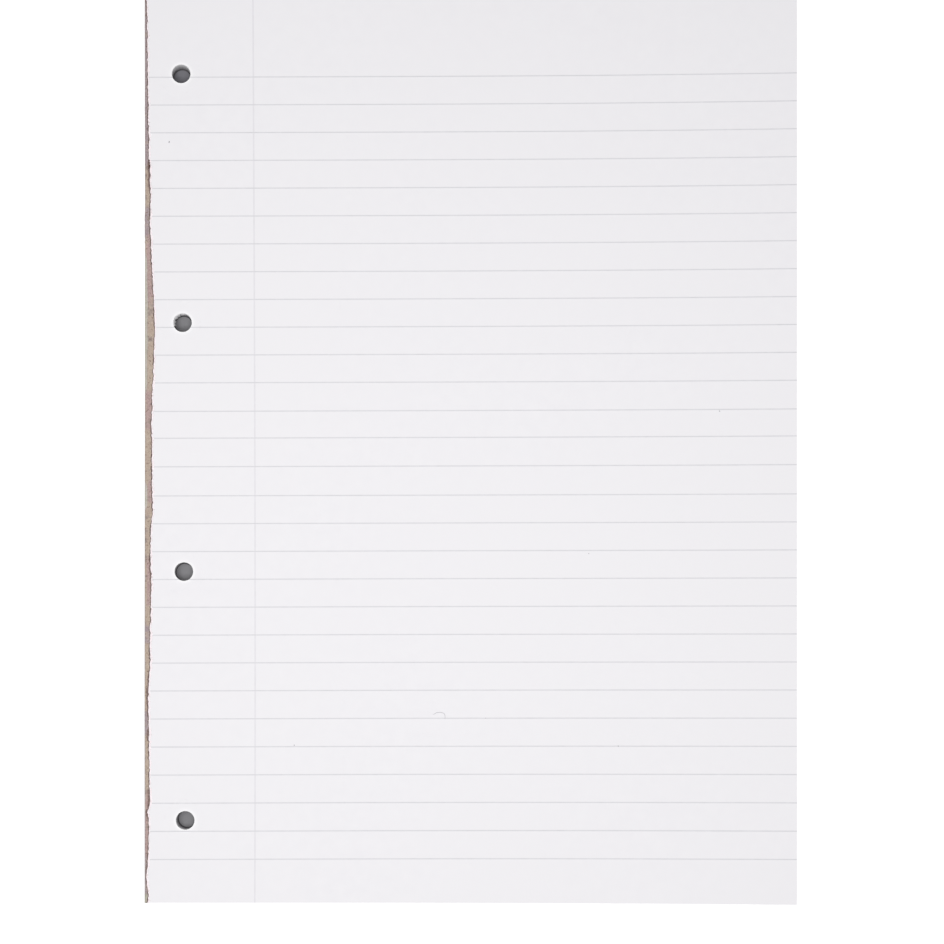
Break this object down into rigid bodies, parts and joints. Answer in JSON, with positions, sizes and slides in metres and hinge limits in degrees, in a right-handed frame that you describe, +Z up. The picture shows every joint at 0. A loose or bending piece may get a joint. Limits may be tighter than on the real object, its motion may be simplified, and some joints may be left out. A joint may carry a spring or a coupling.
{
  "type": "legal pad",
  "caption": "Side-bound A4 writing pad: ruled, ring-punched leaves gummed to a grey board, in a card spine wrap with the front cover torn off.",
  "frame": {"origin": "middle of the pad's underside, where it rests", "axes": "+X from the spine to the fore edge, +Y to the head of the leaves, +Z up through the leaves"},
  "size_m": [0.2092, 0.297, 0.0122],
  "materials": {
    "leaves": "matt uncoated writing paper",
    "grey_board": "matt grey board with flecks",
    "padding_gum": "dull brushed film",
    "torn_card": "matt, torn and fibrous, worn print on the outside",
    "feint_ink": "matt print",
    "margin_ink": "matt print"
  },
  "bodies": {
    "root": {"page_block": "leaves", "back_board": "grey_board", "spine_gum": "padding_gum", "cover_wrap": "torn_card", "feint_ruling": "feint_ink", "margin_line": "margin_ink"}
  },
  "joints": []
}
